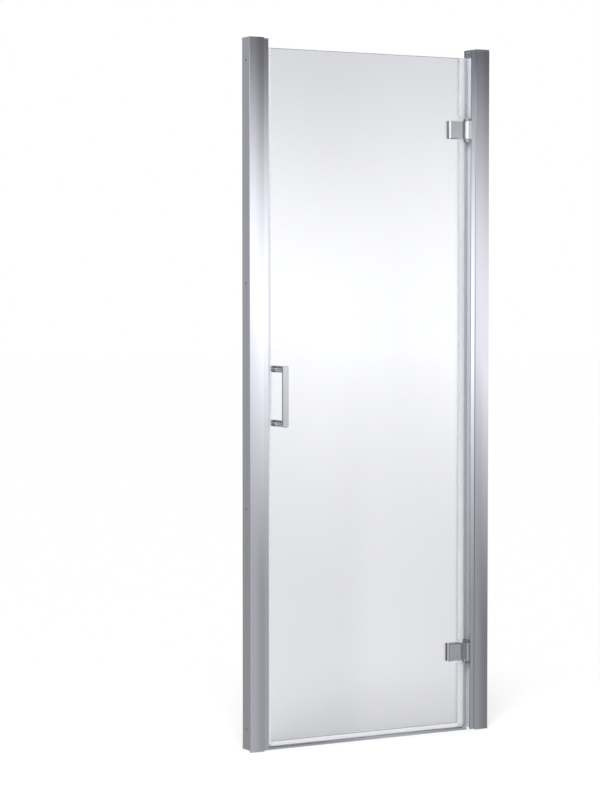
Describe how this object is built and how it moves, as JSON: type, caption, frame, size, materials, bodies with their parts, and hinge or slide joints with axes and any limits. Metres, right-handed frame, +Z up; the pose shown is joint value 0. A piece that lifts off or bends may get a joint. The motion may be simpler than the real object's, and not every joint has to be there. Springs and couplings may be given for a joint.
{
  "type": "hinged shower door",
  "caption": "Framed outward-opening shower door: clear glass pane on knuckle hinges between aluminium wall posts, with width-adjusting profiles, magnetic strike seal, D handle and threshold.",
  "frame": {"origin": "under the middle of the threshold strip, in the mid-plane of the closed glass, on the tray's rim", "axes": "+X from the strike side to the hinge side, +Y into the shower, +Z up"},
  "size_m": [0.762, 0.0765, 1.9],
  "materials": {
    "polished_aluminium": "bright polished and anodised extrusion",
    "chrome": "bright chrome plating on die-cast metal",
    "clear_glass": "clear toughened glass with polished edges",
    "clear_seal": "clear flexible extrusion",
    "grey_infill": "pale silver-grey clip-in extrusion",
    "white_plastic": "white moulded plastic",
    "stainless_steel": "plain stainless steel",
    "nylon": "natural nylon",
    "gasket_rubber": "dark grey gasket",
    "magnet_rubber": "magnetic rubber strip"
  },
  "bodies": {
    "right_post": {"right_wall_post": "polished_aluminium", "right_post_cap": "polished_aluminium", "right_post_foot": "white_plastic", "right_clamp_screws": "stainless_steel", "right_clamp_nuts": "stainless_steel", "right_screw_covers": "chrome"},
    "frame": {"strike_profile": "polished_aluminium", "hinge_profile": "polished_aluminium", "strike_profile_cap": "polished_aluminium", "hinge_profile_cap": "polished_aluminium", "strike_profile_foot": "white_plastic", "hinge_profile_foot": "white_plastic", "threshold_strip": "polished_aluminium", "threshold_ends": "white_plastic", "strike_seal": "clear_seal", "strike_magnet": "magnet_rubber", "hinge_infill_lower": "grey_infill", "hinge_infill_middle": "grey_infill", "hinge_infill_upper": "grey_infill", "upper_hinge_bracket": "chrome", "lower_hinge_bracket": "chrome", "upper_bracket_screws": "stainless_steel", "lower_bracket_screws": "stainless_steel", "upper_bracket_nut_plate": "stainless_steel", "lower_bracket_nut_plate": "stainless_steel", "upper_hinge_pin": "stainless_steel", "lower_hinge_pin": "stainless_steel"},
    "left_post": {"left_wall_post": "polished_aluminium", "left_post_cap": "polished_aluminium", "left_post_foot": "white_plastic", "left_clamp_screws": "stainless_steel", "left_clamp_nuts": "stainless_steel", "left_screw_covers": "chrome"},
    "door": {"glass_panel": "clear_glass", "glass_hole_sleeves": "nylon", "upper_hinge_leaf": "chrome", "lower_hinge_leaf": "chrome", "upper_hinge_back_plate": "chrome", "lower_hinge_back_plate": "chrome", "upper_hinge_gaskets": "gasket_rubber", "lower_hinge_gaskets": "gasket_rubber", "upper_hinge_bushes": "nylon", "lower_hinge_bushes": "nylon", "upper_clamp_bolts": "stainless_steel", "lower_clamp_bolts": "stainless_steel", "handle_grip": "chrome", "handle_upper_standoff": "chrome", "handle_lower_standoff": "chrome", "handle_washers": "nylon", "handle_grip_studs": "stainless_steel", "handle_through_studs": "stainless_steel", "handle_inner_knobs": "chrome", "door_edge_seal": "clear_seal", "door_magnet": "magnet_rubber", "drip_seal": "clear_seal", "hinge_edge_seal_lower": "clear_seal", "hinge_edge_seal_middle": "clear_seal", "hinge_edge_seal_upper": "clear_seal"}
  },
  "joints": [
    {"name": "right_width_adjust", "type": "slide", "parent": "right_post", "child": "frame", "axis": [-1, 0, 0], "range_m": [0, 0.019]},
    {"name": "left_width_adjust", "type": "slide", "parent": "frame", "child": "left_post", "axis": [-1, 0, 0], "range_m": [0, 0.019]},
    {"name": "door_swing", "type": "hinge", "parent": "frame", "child": "door", "pos_m": [0.312, -0.02, 0.9485], "axis": [0, 0, 1], "range_deg": [0, 110]}
  ]
}
